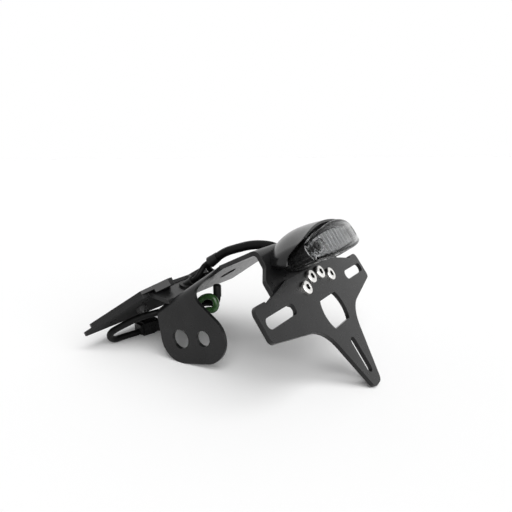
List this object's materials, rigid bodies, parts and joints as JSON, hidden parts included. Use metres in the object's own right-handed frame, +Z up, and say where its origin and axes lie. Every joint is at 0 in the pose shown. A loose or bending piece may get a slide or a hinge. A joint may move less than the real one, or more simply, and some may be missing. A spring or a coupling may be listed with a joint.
{
  "type": "motorcycle tail tidy",
  "caption": "Folded black sheet tail tidy with a one-sided wing, a hooded smoked tail light, a slotted number plate bracket and its loose wiring.",
  "frame": {"origin": "bottom centre of the box round the rigid pieces, as the part lies on a bench", "axes": "+X towards the motorcycle's rear, +Y towards its right, +Z up from the bench; the sheet is tipped nose down by 34.64 degrees about Y from its place on the motorcycle"},
  "size_m": [0.2222, 0.168, 0.1108],
  "materials": {
    "powder_coat": "satin black powder coat",
    "steel": "bright zinc or stainless",
    "black_steel": "blackened steel",
    "rubber": "matt black rubber",
    "black_plastic": "moulded black",
    "gloss_plastic": "polished black",
    "clear_plastic": "clear",
    "smoked_lens": "smoked, polished",
    "board": "solder mask",
    "led": "LED package",
    "bright_plating": "metallised plastic",
    "black_sleeve": "soft black sleeve",
    "green_sleeve": "glossy green insulation"
  },
  "bodies": {
    "root": {"main_bracket": "powder_coat", "number_plate_bracket": "powder_coat", "cover_plate": "powder_coat", "cover_bolts": "black_steel", "cover_nuts": "black_steel", "plate_bolts": "steel", "plate_washers": "steel", "plate_nuts": "steel", "light_gasket": "rubber", "light_housing": "black_plastic", "plate_lamp_window": "clear_plastic", "lamp_board": "board", "led_chips": "led", "reflector": "bright_plating", "light_lens": "smoked_lens", "lens_screws": "steel", "light_hood": "gloss_plastic", "light_studs": "steel", "light_washers": "steel", "light_nuts": "steel", "cable_gland": "rubber", "splitter_boot": "rubber", "joggle_grommet": "rubber", "loom": "black_sleeve", "far_strand": "black_sleeve", "near_strand": "black_sleeve", "far_plug": "black_plastic", "front_loop": "black_sleeve", "loop_plug": "black_plastic", "green_wire": "green_sleeve", "black_wire": "black_sleeve", "wire_plug": "black_plastic", "bullet_plug": "rubber"}
  },
  "joints": []
}
